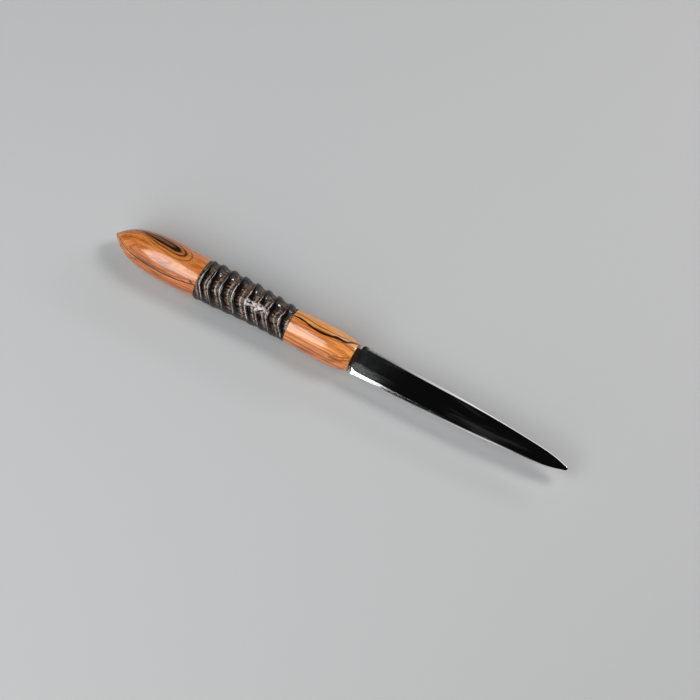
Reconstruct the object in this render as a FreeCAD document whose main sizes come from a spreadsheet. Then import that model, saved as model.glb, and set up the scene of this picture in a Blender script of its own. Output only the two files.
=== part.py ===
import FreeCAD, Part
import Sketcher
import math
import os
import re

# Letter opener with a three-piece handle: a pointed pommel and a front grip of
# turned olive wood, a ridged horn sleeve between them, and a double-bevelled
# steel blade whose tang is glued into the front grip.
#
# Frame: +X runs from the pommel's point to the blade's tip, +Z is up, and the
# blade's flats are level.  The origin is under the middle of the whole length,
# on the surface that the handle rests on.  Every sub-part is drawn about the
# centre of the nose face, where the blade leaves the handle, and its Placement
# carries it to that spot.

SIZES = {
    # pommel, stations measured from its point
    "pommel_length": 50.3,
    "pommel_shoulder_station": 15.0,
    "pommel_shoulder_radius": 9.1,
    "pommel_widest_station": 31.6,
    "pommel_widest_radius": 10.85,
    "pommel_joint_radius": 10.15,
    # front grip, stations measured back from the nose face
    "front_length": 35.4,
    "front_joint_radius": 8.7,
    "front_widest_station": 15.4,
    "front_widest_radius": 9.35,
    "front_shoulder_station": 4.9,
    "front_shoulder_radius": 8.55,
    "nose_radius": 7.15,
    "nose_round": 0.5,
    # horn sleeve, stations measured forward from its rear end
    "horn_length": 50.6,
    "horn_rear_radius": 10.25,
    "horn_front_radius": 8.8,
    "crest_rear_radius": 11.2,
    "crest_front_radius": 9.3,
    "ridge_height": 1.0,
    "ridge_pitch": 6.4,
    "first_ridge": 1.8,
    "horn_bow": 0.75,
    "core_radius": 5.5,
    # fastening
    "glue_line": 0.2,
    "rod_radius": 3.0,
    "rod_chamfer": 0.5,
    "rod_gap": 0.3,
    "rod_in_pommel": 32.0,
    "rod_in_front": 11.5,
    "bore_end_gap": 0.5,
    "tang_length": 20.0,
    "tang_half_width": 3.2,
    "tang_half_thickness": 1.15,
    "tang_gap": 0.25,
    # blade, stations measured forward from the nose face
    "blade_length": 118.6,
    "blade_half_thickness": 1.5,
    "edge_half_thickness": 0.8,
    "neck_half_width": 5.1,
    "edge_neck_station": 0.5,
    "edge_shoulder_station": 2.2,
    "edge_shoulder_half": 8.05,
    "edge_belly_station": 56.0,
    "edge_belly_half": 7.05,
    "edge_point_station": 104.0,
    "edge_point_half": 4.05,
    "edge_tip_back": 0.5,
    "edge_tip_half": 0.95,
    "flat_neck_station": 1.2,
    "flat_shoulder_station": 3.2,
    "flat_shoulder_half": 6.15,
    "flat_belly_station": 56.0,
    "flat_belly_half": 5.85,
    "flat_point_station": 104.0,
    "flat_point_half": 3.4,
    "flat_tip_start": 1.2,
    "flat_tip_back": 0.35,
    "flat_tip_half": 0.65,
}

DERIVED = {
    "horn_front_station": "-(front_length + glue_line)",
    "horn_rear_station": "horn_front_station - horn_length",
    "pommel_face_station": "horn_rear_station - glue_line",
    "handle_length": "pommel_length + horn_length + front_length + 2 * glue_line",
    "rod_front_station": "-front_length + rod_in_front",
    "rod_length": "rod_in_pommel + rod_in_front + horn_length + 2 * glue_line",
    "edge_tip_station": "blade_length",
    "flat_tip_station": "blade_length - flat_tip_start",
    "place_forward": "(handle_length - blade_length) / 2",
    "place_up": "crest_rear_radius - (crest_rear_radius - crest_front_radius)"
                " * first_ridge / horn_length",
}


def add_arc(name, slope, first, last):
    """Add the radius of an arc between two corners, and its slope at the far end.

    slope is a formula for how steeply the arc leaves the first corner.
    """
    run = f"({last[0]} - ({first[0]}))"
    rise = f"({last[1]} - {first[1]})"
    DERIVED[name + "_chord"] = f"{rise} / {run}"
    DERIVED[name + "_double"] = f"2 * {name}_chord / (1 - {name}_chord ^ 2)"
    DERIVED[name + "_slope"] = f"({name}_double - {slope}) / (1 + {name}_double * {slope})"
    DERIVED[name + "_radius"] = (f"({run} ^ 2 + {rise} ^ 2) * sqrt(1 + ({slope}) ^ 2)"
                                 f" / (2 * abs(({slope}) * {run} - {rise}))")


POMMEL = {
    "rim": ("pommel_length", "pommel_joint_radius"),
    "widest": ("pommel_widest_station", "pommel_widest_radius"),
    "shoulder": ("pommel_shoulder_station", "pommel_shoulder_radius"),
    "tip": ("0", "0"),
}
FRONT = {
    "rim": ("-front_length", "front_joint_radius"),
    "widest": ("-front_widest_station", "front_widest_radius"),
    "shoulder": ("-front_shoulder_station", "front_shoulder_radius"),
    "nose": ("0", "nose_radius"),
}
add_arc("pommel_rear", "0", POMMEL["widest"], POMMEL["rim"])
add_arc("pommel_cheek", "0", POMMEL["widest"], POMMEL["shoulder"])
add_arc("pommel_point", "pommel_cheek_slope", POMMEL["shoulder"], POMMEL["tip"])
add_arc("front_swell", "0", FRONT["widest"], FRONT["rim"])
add_arc("front_cheek", "0", FRONT["widest"], FRONT["shoulder"])
add_arc("front_nose", "front_cheek_slope", FRONT["shoulder"], FRONT["nose"])


def blade_corners(line):
    """The corners of half the blade's outline, along its edge or round its flat."""
    return [
        ("0", "0"),
        ("0", "neck_half_width"),
        (f"{line}_neck_station", "neck_half_width"),
        (f"{line}_shoulder_station", f"{line}_shoulder_half"),
        (f"{line}_belly_station", f"{line}_belly_half"),
        (f"{line}_point_station", f"{line}_point_half"),
        (f"({line}_tip_station - {line}_tip_back)", f"{line}_tip_half"),
        (f"{line}_tip_station", "0"),
    ]


for line in ("edge", "flat"):
    shoulder, belly, point, tip_start = blade_corners(line)[3:7]
    DERIVED[f"{line}_slope"] = (f"({belly[1]} - {shoulder[1]}) / ({belly[0]} - {shoulder[0]})")
    add_arc(f"{line}_belly", f"{line}_slope", belly, point)
    add_arc(f"{line}_point", f"{line}_belly_slope", point, tip_start)
    DERIVED[f"{line}_tip_radius"] = (f"({line}_tip_half ^ 2 + {line}_tip_back ^ 2)"
                                     f" / (2 * {line}_tip_back)")

RIDGES = 8
# where a ridge's sections lie, in pitches from its crest, and how far each drops
RING = {"back": (-0.17, 0.3), "crest": (0, 0), "front": (0.17, 0.3), "trough": (0.5, 1)}
START, END, CENTRE = 1, 2, 3
ORIGIN, ALONG, ACROSS = -1, -1, -2

doc = FreeCAD.newDocument("letter_opener")


def make_sheet():
    """Write every driving size and every size worked out from them."""
    sheet = doc.addObject("Spreadsheet::Sheet", "Sheet")
    row = 1
    for alias, size in SIZES.items():
        sheet.set(f"A{row}", alias)
        sheet.set(f"B{row}", str(size))
        sheet.setAlias(f"B{row}", alias)
        row += 1
    doc.recompute()
    for alias, formula in DERIVED.items():
        sheet.set(f"A{row}", alias)
        sheet.set(f"B{row}", "=" + formula)
        sheet.setAlias(f"B{row}", alias)
        doc.recompute()
        row += 1
    return sheet


def value(formula):
    """The number that a formula on the sheet's aliases has now."""
    return float(doc.getObject("Sheet").evalExpression(formula))


def on_sheet(formula):
    """The same formula, written so that another object can be bound to it."""
    return re.sub(r"[a-z]+_[a-z_]+", lambda word: "Sheet." + word.group(), formula)


def new_body(name):
    """A body placed so that its own origin is the centre of the nose face."""
    body = doc.addObject("PartDesign::Body", name)
    body.Label = name
    body.setExpression("Placement.Base.x", "Sheet.place_forward")
    body.setExpression("Placement.Base.z", "Sheet.place_up")
    return body


def origin_feature(body, role):
    """The body's own origin plane or axis with this role."""
    return next(f for f in body.Origin.OriginFeatures if f.Role == role)


def new_sketch(body, name, role, offset="0"):
    """A sketch on one of the body's planes, moved along its normal by a formula."""
    sketch = body.newObject("Sketcher::SketchObject", name)
    sketch.AttachmentSupport = (origin_feature(body, role), [""])
    sketch.MapMode = "FlatFace"
    sketch.setExpression("AttachmentOffset.Base.z", on_sheet(offset))
    return sketch


def bind(sketch, constraint, formula):
    """Add a dimension to the sketch and bind it to a formula."""
    index = sketch.addConstraint(constraint)
    name = f"size{index}"
    sketch.renameConstraint(index, name)
    sketch.setExpression(f"Constraints.{name}", on_sheet(formula))


def pin_vertex(sketch, edge, spot, along, across):
    """Hold one end of an edge at the place that two formulas give."""
    axes = (("DistanceX", along, ACROSS), ("DistanceY", across, ALONG))
    for kind, formula, axis in axes:
        if formula == "0":
            sketch.addConstraint(Sketcher.Constraint("PointOnObject", edge, spot, axis))
        else:
            number = value(formula)
            bind(sketch, Sketcher.Constraint(kind, ORIGIN, START, edge, spot, number), formula)


def arc_between(first, last, radius):
    """The arc of this radius from first to last that bulges to the left of the way."""
    chord = last - first
    rise = radius - math.sqrt(radius ** 2 - (chord.Length / 2) ** 2)
    left = FreeCAD.Vector(-chord.y, chord.x, 0).normalize()
    return Part.Arc(first, (first + last) / 2 + left * rise, last)


def draw_loop(sketch, corners, radii):
    """Draw a closed loop through the corners, each of them a pair of formulas.

    radii holds one entry for each edge: None where it is straight, or the
    formula for the radius of an arc that bulges out.
    """
    places = [FreeCAD.Vector(value(x), value(y), 0) for x, y in corners]
    count = len(corners)
    for edge in range(count):
        first, last = places[edge], places[(edge + 1) % count]
        if radii[edge] is None:
            sketch.addGeometry(Part.LineSegment(first, last))
        else:
            sketch.addGeometry(arc_between(first, last, value(radii[edge])))
            bind(sketch, Sketcher.Constraint("Radius", edge, value(radii[edge])), radii[edge])
    for edge in range(count):
        following = (edge + 1) % count
        spot = end_spot(sketch, edge, places[following])
        next_spot = end_spot(sketch, following, places[following])
        sketch.addConstraint(Sketcher.Constraint("Coincident", edge, spot, following, next_spot))
        pin_vertex(sketch, following, next_spot, *corners[following])


def end_spot(sketch, edge, place):
    """Which end of the edge, START or END, lies at this place."""
    near_start = (sketch.getPoint(edge, START) - place).Length
    near_end = (sketch.getPoint(edge, END) - place).Length
    return START if near_start < near_end else END


def pad(body, sketch, length, midplane=False, backwards=False):
    """Pad a sketch by the length that a formula gives."""
    feature = body.newObject("PartDesign::Pad", sketch.Name + "_pad")
    feature.Profile = sketch
    feature.Midplane = midplane
    feature.Reversed = backwards
    feature.setExpression("Length", on_sheet(length))
    doc.recompute()
    return feature


def pocket(body, sketch, depth, forwards=False):
    """Cut a sketch to a depth, towards -X, or towards +X where forwards is set."""
    before = body.Shape.Volume
    feature = body.newObject("PartDesign::Pocket", sketch.Name + "_pocket")
    feature.Profile = sketch
    feature.Reversed = forwards
    feature.setExpression("Length", on_sheet(depth))
    doc.recompute()
    cut = sketch_area(sketch) * value(depth)
    if abs(before - body.Shape.Volume - cut) > 0.02 * cut:
        raise RuntimeError(f"{feature.Name} cut {before - body.Shape.Volume:.1f}, not {cut:.1f} mm3")
    return feature


def sketch_area(sketch):
    """The area that a sketch of one closed loop encloses."""
    return Part.Face(Part.Wire(sketch.Shape.Edges)).Area


def revolve(body, sketch):
    """Turn a sketch on the XY plane right round the handle's axis."""
    feature = body.newObject("PartDesign::Revolution", sketch.Name + "_turned")
    feature.Profile = sketch
    feature.ReferenceAxis = (sketch, ["H_Axis"])
    feature.Angle = 360
    doc.recompute()
    return feature


def circle_sketch(body, name, station, radius, aside="0"):
    """A circle across the handle at a station, its centre moved aside along Y."""
    sketch = new_sketch(body, name, "YZ_Plane", station)
    centre = FreeCAD.Vector(value(aside), 0, 0)
    sketch.addGeometry(Part.Circle(centre, FreeCAD.Vector(0, 0, 1), value(radius)))
    bind(sketch, Sketcher.Constraint("Radius", 0, value(radius)), radius)
    pin_vertex(sketch, 0, CENTRE, aside, "0")
    return sketch


def bore(body, name, station, radius, depth, forwards=False):
    """A round blind hole on the handle's axis, from a station."""
    return pocket(body, circle_sketch(body, name, station, radius), depth, forwards)


def slab_sketch(body, name, back, front, half):
    """A rectangle on the XY plane between two stations, of this half width."""
    sketch = new_sketch(body, name, "XY_Plane")
    corners = [(back, f"-{half}"), (front, f"-{half}"), (front, half), (back, half)]
    draw_loop(sketch, corners, [None] * 4)
    return sketch


def make_pommel():
    """Turned olive-wood end: a pointed ogive, bored for the connecting rod."""
    body = new_body("pommel")
    sketch = new_sketch(body, "pommel_profile", "XY_Plane")
    corners = [(f"({x} - handle_length)", y) for x, y in reversed(POMMEL.values())]
    corners.append((corners[-1][0], "0"))
    radii = ["pommel_point_radius", "pommel_cheek_radius", "pommel_rear_radius", None, None]
    draw_loop(sketch, corners, radii)
    revolve(body, sketch)
    bore(body, "pommel_rod_bore", "pommel_face_station", "rod_radius + rod_gap",
         "rod_in_pommel + bore_end_gap")
    return body


def make_front_grip():
    """Turned olive-wood front piece: it swells, then rounds in to the nose face."""
    body = new_body("front_grip")
    sketch = new_sketch(body, "front_profile", "XY_Plane")
    corners = [("-front_length", "0"), *FRONT.values(), ("0", "0")]
    radii = [None, "front_swell_radius", "front_cheek_radius", "front_nose_radius", None, None]
    draw_loop(sketch, corners, radii)
    revolve(body, sketch)
    round_nose(body)
    slot = new_sketch(body, "tang_slot", "YZ_Plane")
    half_width = "(tang_half_width + tang_gap)"
    half_height = "(tang_half_thickness + tang_gap)"
    draw_loop(slot, rectangle(half_width, half_height), [None] * 4)
    pocket(body, slot, "tang_length + bore_end_gap")
    bore(body, "front_rod_bore", "-front_length", "rod_radius + rod_gap",
         "rod_in_front + bore_end_gap", forwards=True)
    return body


def rectangle(half_width, half_height):
    """The corners of a rectangle about the sketch's origin."""
    signs = (("-", "-"), ("", "-"), ("", ""), ("-", ""))
    return [(across + half_width, up + half_height) for across, up in signs]


def round_nose(body):
    """Round the sharp edge of the nose face."""
    names = []
    for number, edge in enumerate(body.Shape.Edges, start=1):
        box = edge.BoundBox
        at_nose = abs(box.XMax - value("place_forward")) < 1e-4 and box.XLength < 1e-4
        if at_nose and abs(box.ZLength - 2 * value("nose_radius")) < 1e-3:
            names.append(f"Edge{number}")
    turned = body.Tip
    feature = body.newObject("PartDesign::Fillet", "nose_rounding")
    feature.Base = (turned, names)
    feature.setExpression("Radius", "Sheet.nose_round")
    doc.recompute()


def make_horn():
    """Horn sleeve: raised rings down a tapering tube that bows to one side."""
    body = new_body("horn_sleeve")
    sections = [circle_sketch(body, "horn_rear", "horn_rear_station", "horn_rear_radius")]
    for ridge in range(RIDGES):
        for spot, (ahead, drop) in RING.items():
            if ridge < RIDGES - 1 or spot != "trough":
                forward = f"(first_ridge + {ridge + ahead} * ridge_pitch)"
                sections.append(horn_section(body, f"{spot}{ridge}", forward, drop))
    sections.append(circle_sketch(body, "horn_front", "horn_front_station", "horn_front_radius"))
    loft = body.newObject("PartDesign::AdditiveLoft", "horn_rings")
    loft.Profile = sections[0]
    loft.Sections = sections[1:]
    loft.Ruled = True
    doc.recompute()
    bore(body, "horn_bore", "horn_front_station", "core_radius", "horn_length")
    return body


def horn_section(body, name, forward, drop):
    """One round section, forward of the horn's rear end.

    drop is how far it lies below the crests' line, in ridge heights.
    """
    share = f"{forward} / horn_length"
    crest = f"crest_rear_radius - (crest_rear_radius - crest_front_radius) * {share}"
    radius = f"{crest} - {drop} * ridge_height"
    aside = f"4 * horn_bow * {share} * (1 - {share})"
    return circle_sketch(body, name, f"horn_rear_station + {forward}", radius, aside)


def make_horn_core():
    """Plug that fills the drilled-out horn, with a hole for the rod."""
    body = new_body("horn_core")
    outer = circle_sketch(body, "core_outside", "horn_rear_station", "core_radius")
    pad(body, outer, "horn_length")
    bore(body, "core_bore", "horn_front_station", "rod_radius", "horn_length")
    return body


def make_rod():
    """Steel rod that ties the pommel, the horn and the front grip together."""
    body = new_body("connecting_rod")
    section = circle_sketch(body, "rod_section", "rod_front_station", "rod_radius")
    bar = pad(body, section, "rod_length", backwards=True)
    ends = [f"Edge{n}" for n, e in enumerate(body.Shape.Edges, start=1) if e.BoundBox.XLength < 1e-4]
    feature = body.newObject("PartDesign::Chamfer", "rod_ends")
    feature.Base = (bar, ends)
    feature.setExpression("Size", "Sheet.rod_chamfer")
    doc.recompute()
    return body


def make_rod_bond(name, mouth, depth, forwards):
    """Glue that fills a rod bore round and behind the rod."""
    body = new_body(name)
    outer = circle_sketch(body, name + "_outside", mouth, "rod_radius + rod_gap")
    pad(body, outer, depth + " + bore_end_gap", backwards=not forwards)
    bore(body, name + "_hole", mouth, "rod_radius", depth, forwards)
    return body


def make_glue_line(name, station, radius):
    """Thin glue film between two handle pieces, with the rod through it."""
    body = new_body(name)
    outer = circle_sketch(body, name + "_outside", station, radius)
    pad(body, outer, "glue_line")
    bore(body, name + "_hole", station, "rod_radius", "glue_line", forwards=True)
    return body


def make_tang_bond():
    """Glue that fills the tang slot round and behind the tang."""
    body = new_body("tang_bond")
    block = slab_sketch(body, "tang_bond_outline", "-( tang_length + bore_end_gap )", "0",
                        "( tang_half_width + tang_gap )")
    pad(body, block, "2 * ( tang_half_thickness + tang_gap )", midplane=True)
    hole = new_sketch(body, "tang_bond_hole", "YZ_Plane")
    draw_loop(hole, rectangle("tang_half_width", "tang_half_thickness"), [None] * 4)
    pocket(body, hole, "tang_length")
    return body


def half_outline(body, name, line, level):
    """Sketch half of the blade's outline, on one side of its centre line.

    line is "edge" or "flat", and level is the sketch's height above the middle.
    """
    sketch = new_sketch(body, name, "XY_Plane", level)
    arcs = [f"{line}_{arc}_radius" for arc in ("belly", "point", "tip")]
    draw_loop(sketch, blade_corners(line), [None] * 4 + arcs + [None])
    return sketch


def make_blade():
    """Double-bevelled blade with a narrow neck and a tang, all one piece of steel.

    A quarter of the blade is a thin band along its edge with a bevel above it,
    and two mirrors make the rest.
    """
    body = new_body("blade")
    band = half_outline(body, "edge_band", "edge", "0")
    quarter = [pad(body, band, "edge_half_thickness")]
    bevel = body.newObject("PartDesign::AdditiveLoft", "bevel")
    bevel.Profile = half_outline(body, "edge_outline", "edge", "edge_half_thickness")
    bevel.Sections = [half_outline(body, "flat_outline", "flat", "blade_half_thickness")]
    bevel.Ruled = True
    doc.recompute()
    quarter.append(bevel)
    both_sides = body.newObject("PartDesign::MultiTransform", "other_quarters")
    both_sides.Originals = quarter
    steps = []
    for role in ("XZ_Plane", "XY_Plane"):
        step = body.newObject("PartDesign::Mirrored", "mirror_" + role)
        step.MirrorPlane = (origin_feature(body, role), [""])
        steps.append(step)
    both_sides.Transformations = steps
    body.Tip = both_sides
    doc.recompute()
    tang = slab_sketch(body, "tang_outline", "-tang_length", "0", "tang_half_width")
    pad(body, tang, "2 * tang_half_thickness", midplane=True)
    return body


def check_and_export(bodies):
    """Stop on any failed feature or unsound solid, then write each solid's file."""
    doc.recompute()
    for item in doc.Objects:
        if "Invalid" in item.State or "Error" in item.State:
            raise RuntimeError(f"{item.Name} failed: {item.State}")
    for body in bodies:
        shape = body.Shape
        if shape.isNull() or not shape.isValid() or len(shape.Solids) != 1:
            raise RuntimeError(f"{body.Label} isn't one sound solid")
    os.makedirs("parts", exist_ok=True)
    for body in bodies:
        body.Shape.exportStep(f"parts/{body.Label}.step")
        box = body.Shape.BoundBox
        print(f"{body.Label}: {body.Shape.Volume:.0f} mm3, x {box.XMin:.1f} to {box.XMax:.1f},"
              f" z {box.ZMin:.2f} to {box.ZMax:.2f}")


make_sheet()
check_and_export([
    make_pommel(),
    make_horn(),
    make_front_grip(),
    make_horn_core(),
    make_rod(),
    make_rod_bond("rod_bond_pommel", "pommel_face_station", "rod_in_pommel", False),
    make_rod_bond("rod_bond_front", "-front_length", "rod_in_front", True),
    make_glue_line("glue_line_rear", "pommel_face_station", "pommel_joint_radius"),
    make_glue_line("glue_line_front", "horn_front_station", "front_joint_radius"),
    make_tang_bond(),
    make_blade(),
])
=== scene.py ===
"""Letter opener: a mirror-polished blade on a handle of turned olive wood and ringed horn.

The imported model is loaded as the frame.  The four pieces that show are modelled
again here with finer meshes, the inner pieces keep their shapes, and each of
them gets a finish.  +X runs from the pommel's point to the blade's tip.  Round
the handle, an angle of 0 is the top and 90 degrees the side towards -Y.
"""

import logging
import math
from collections.abc import Callable, Sequence
from dataclasses import dataclass, replace
from enum import Enum
from typing import Any

import bmesh
import bpy
from bmesh.types import BMEdge, BMesh, BMVert
from mathutils import Matrix, Vector, noise


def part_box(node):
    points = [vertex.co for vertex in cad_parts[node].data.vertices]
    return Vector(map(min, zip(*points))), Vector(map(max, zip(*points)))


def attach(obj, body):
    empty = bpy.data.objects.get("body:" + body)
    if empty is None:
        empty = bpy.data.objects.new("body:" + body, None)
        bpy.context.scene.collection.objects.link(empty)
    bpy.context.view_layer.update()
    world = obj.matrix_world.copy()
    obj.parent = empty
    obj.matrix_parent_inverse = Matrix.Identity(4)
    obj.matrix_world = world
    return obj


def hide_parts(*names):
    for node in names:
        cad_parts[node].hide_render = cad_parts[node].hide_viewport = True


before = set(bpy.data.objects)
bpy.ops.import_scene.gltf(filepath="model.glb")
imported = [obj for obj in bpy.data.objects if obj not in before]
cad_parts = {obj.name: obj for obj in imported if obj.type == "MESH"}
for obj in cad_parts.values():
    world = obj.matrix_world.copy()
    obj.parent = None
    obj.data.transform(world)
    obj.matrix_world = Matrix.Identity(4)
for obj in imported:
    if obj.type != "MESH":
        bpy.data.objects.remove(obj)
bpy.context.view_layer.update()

log = logging.getLogger("letter_opener")

MM = 0.001
ROOT = "root"
SHARP_ANGLE = math.radians(32)
WELD = 1e-7
SAME_STATION = 1e-6
AXIS_HEIGHT = sum(corner.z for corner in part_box("connecting_rod")) / 2
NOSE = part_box("front_grip")[1].x
Colour = tuple[float, float, float]
Point = tuple[float, float]


class Slot(Enum):
    """The material names of the four pieces that show."""

    STEEL = "polished_steel"
    POMMEL_WOOD = "olive_wood_pommel"
    FRONT_WOOD = "olive_wood_front"
    HORN = "ridged_horn"


class Blend(Enum):
    """How a texture's two colours meet."""

    PLAIN = "MIX"
    DARKER = "MULTIPLY"


# ---------------------------------------------------------------- shader tools


class Value:
    """A number that varies over a surface, written with Python's own operators."""

    def __init__(self, tree: "Tree", socket: bpy.types.NodeSocket) -> None:
        """Wrap the output socket that gives the number."""
        self.tree = tree
        self.socket = socket

    def math(self, operation: str, *others: "Value | float", first: bool = True) -> "Value":
        """Add one Math node.

        Args:
            operation: the node's operation, such as ADD.
            others: the operands besides this value.
            first: whether this value is the first operand.

        Returns:
            The node's result.
        """
        operands = [self, *others] if first else [*others, self]
        sockets = {place: operand for place, operand in enumerate(operands)}
        return self.tree.node("ShaderNodeMath", {"operation": operation}, sockets)

    def __add__(self, other: "Value | float") -> "Value":
        """This value plus another."""
        return self.math("ADD", other)

    __radd__ = __add__

    def __sub__(self, other: "Value | float") -> "Value":
        """This value less another."""
        return self.math("SUBTRACT", other)

    def __rsub__(self, other: float) -> "Value":
        """A number less this value."""
        return self.math("SUBTRACT", other, first=False)

    def __mul__(self, other: "Value | float") -> "Value":
        """This value times another."""
        return self.math("MULTIPLY", other)

    __rmul__ = __mul__

    def __truediv__(self, other: "Value | float") -> "Value":
        """This value over another."""
        return self.math("DIVIDE", other)

    def __pow__(self, other: float) -> "Value":
        """This value to a power."""
        return self.math("POWER", other)

    def size(self) -> "Value":
        """The value without its sign."""
        return self.math("ABSOLUTE")

    def part(self) -> "Value":
        """What is left above the whole number below the value."""
        return self.math("FRACT")

    def most(self, other: "Value | float") -> "Value":
        """The larger of two values."""
        return self.math("MAXIMUM", other)

    def ease(self, low: float, high: float) -> "Value":
        """A smooth step from 0, where the value is low, to 1, where it is high."""
        settings = {"interpolation_type": "SMOOTHSTEP"}
        if low < high:
            return self.tree.node("ShaderNodeMapRange", settings, {0: self, 1: low, 2: high})
        return 1 - self.tree.node("ShaderNodeMapRange", settings, {0: self, 1: high, 2: low})


class Tree:
    """A node tree that is being built."""

    def __init__(self, nodes: bpy.types.NodeTree) -> None:
        """Start on an emptied tree."""
        self.nodes = nodes
        self.nodes.nodes.clear()

    def make(self, kind: str, settings: dict[str, Any], sockets: dict[Any, Any]) -> bpy.types.Node:
        """Add any node.

        Args:
            kind: the node's type.
            settings: its own settings; "stops" fills a colour ramp and "points" a curve.
            sockets: a value or a link for each input, by its name or place.

        Returns:
            The new node.
        """
        node = self.nodes.nodes.new(kind)
        for name, setting in settings.items():
            if name == "stops":
                self.fill_ramp(node.color_ramp, setting)
            elif name == "points":
                self.fill_curve(node.mapping, setting)
            else:
                setattr(node, name, setting)
        for place, given in sockets.items():
            if isinstance(given, Value):
                given = given.socket
            if isinstance(given, bpy.types.NodeSocket):
                self.nodes.links.new(given, node.inputs[place])
            elif isinstance(given, tuple) and node.inputs[place].type == "RGBA":
                node.inputs[place].default_value = (*given, 1.0)
            else:
                node.inputs[place].default_value = given
        return node

    def node(self, kind: str, settings: dict[str, Any], sockets: dict[Any, Any]) -> Value:
        """Add a node and wrap its first output."""
        return Value(self, self.make(kind, settings, sockets).outputs[0])

    @staticmethod
    def fill_ramp(ramp: bpy.types.ColorRamp, stops: Sequence[tuple[float, Colour]]) -> None:
        """Give a colour ramp its stops, each a place and a colour."""
        while len(ramp.elements) < len(stops):
            ramp.elements.new(1.0)
        for element, (place, colour) in zip(ramp.elements, stops):
            element.position = place
            element.color = (*colour, 1.0)

    @staticmethod
    def fill_curve(mapping: bpy.types.CurveMapping, points: Sequence[Point]) -> None:
        """Lead a curve through its points."""
        line = mapping.curves[0].points
        while len(line) < len(points):
            line.new(0.5, 0.5)
        for knot, place in zip(line, points):
            knot.location = place
        mapping.update()

    def parts(self, vector: bpy.types.NodeSocket) -> tuple[Value, Value, Value]:
        """The three numbers of a vector."""
        split = self.make("ShaderNodeSeparateXYZ", {}, {0: vector})
        x, y, z = (Value(self, output) for output in split.outputs)
        return x, y, z

    def noise(self, vector: bpy.types.NodeSocket, scale: float, detail: float = 2.0) -> Value:
        """Cloudy noise between 0 and 1."""
        return self.node("ShaderNodeTexNoise", {}, {"Vector": vector, "Scale": scale, "Detail": detail})

    def mix(
        self, share: Value | float, low: Any, high: Any, how: Blend = Blend.PLAIN
    ) -> bpy.types.NodeSocket:
        """Mix two colours.

        Args:
            share: how much of the second colour there is.
            low: the first colour.
            high: the second colour.
            how: the way that they meet.

        Returns:
            The mixed colour.
        """
        settings = {"data_type": "RGBA", "blend_type": how.value}
        return self.make("ShaderNodeMix", settings, {0: share, 6: low, 7: high}).outputs[2]

    def ramp(self, value: Value, stops: Sequence[tuple[float, Colour]]) -> bpy.types.NodeSocket:
        """The colour that a ramp gives for a value."""
        return self.make("ShaderNodeValToRGB", {"stops": stops}, {0: value}).outputs[0]

    def bump(self, height: Value, depth: float) -> bpy.types.NodeSocket:
        """A surface's normal with relief.

        Args:
            height: the relief, from 0 to 1.
            depth: how deep the relief is, in metres.

        Returns:
            The new normal.
        """
        return self.make("ShaderNodeBump", {}, {"Height": height, "Distance": depth}).outputs[0]


class Material(Tree):
    """A material's node tree, with places measured from the handle's axis."""

    def __init__(self, name: str) -> None:
        """Start an empty material."""
        self.material = bpy.data.materials.new(name)
        self.material.use_nodes = True
        super().__init__(self.material.node_tree)
        centre = {"Location": (0.0, 0.0, -AXIS_HEIGHT / MM), "Scale": (1 / MM,) * 3}
        place = self.make("ShaderNodeTexCoord", {}, {}).outputs["Object"]
        self.place = self.make("ShaderNodeMapping", {}, {"Vector": place, **centre}).outputs[0]
        self.x, self.y, self.z = self.parts(self.place)

    def angle(self) -> Value:
        """The angle round the handle, in degrees from the top towards -Y."""
        turn = (self.y * -1).math("ARCTAN2", self.z)
        return turn * math.degrees(1)

    def stretched(self, along: float, across: float, seed: float = 0.0) -> bpy.types.NodeSocket:
        """Places scaled one way along the handle and another across it.

        Args:
            along: repeats per millimetre along the handle.
            across: repeats per millimetre across it.
            seed: how far along the pattern this piece starts.

        Returns:
            The scaled places.
        """
        sockets = {"Vector": self.place, "Location": (seed, seed, seed), "Scale": (along, across, across)}
        return self.make("ShaderNodeMapping", {}, sockets).outputs[0]

    def finish(self, **sockets: Any) -> bpy.types.Material:
        """Add the surface's shader, with its sockets named in lower case.

        Returns:
            The finished material.
        """
        named = {name.replace("_", " ").title(): given for name, given in sockets.items()}
        named = {name.replace("Ior", "IOR"): given for name, given in named.items()}
        shader = self.make("ShaderNodeBsdfPrincipled", {}, named)
        self.make("ShaderNodeOutputMaterial", {}, {0: shader.outputs[0]})
        return self.material


# -------------------------------------------------------------------- finishes


@dataclass(frozen=True)
class Vein:
    """A dark mineral streak that wanders along a piece of wood.

    Stations are shares of the piece's length, and turns are angles in degrees.
    """

    path: tuple[Point, ...]
    width: float
    colour: Colour = (0.03, 0.016, 0.01)
    strength: float = 1.0
    soft: float = 0.35
    wander: float = 0.5
    grows: float = 0.0

    def mask(self, wood: Material, station: Value, turn: Value, radius: float, ripple: Value) -> Value:
        """Where the streak shows.

        Args:
            wood: the material that it is part of.
            station: the share of the piece's length.
            turn: the angle round the handle.
            radius: the piece's usual radius, in millimetres.
            ripple: noise that makes the streak uneven.

        Returns:
            A mask between 0 and 1.
        """
        turns = [degrees for _, degrees in self.path]
        low, span = min(turns) - 1, max(turns) - min(turns) + 2
        knots = [(share, (degrees - low) / span) for share, degrees in self.path]
        settings = {"points": knots}
        middle = wood.node("ShaderNodeFloatCurve", settings, {1: station}) * span + low
        away = (turn - middle) * (radius * math.radians(1)) + (ripple - 0.5) * (2 * self.wander)
        half = (station * self.grows + 1) * (ripple * 0.6 + 0.7) * (self.width / 2)
        first, _ = self.path[0]
        last, _ = self.path[-1]
        ends = station.ease(first - 0.02, first + 0.02) * station.ease(last + 0.02, last - 0.02)
        return (away.size() / half).ease(1 + self.soft, 1 - self.soft) * ends * self.strength


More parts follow.
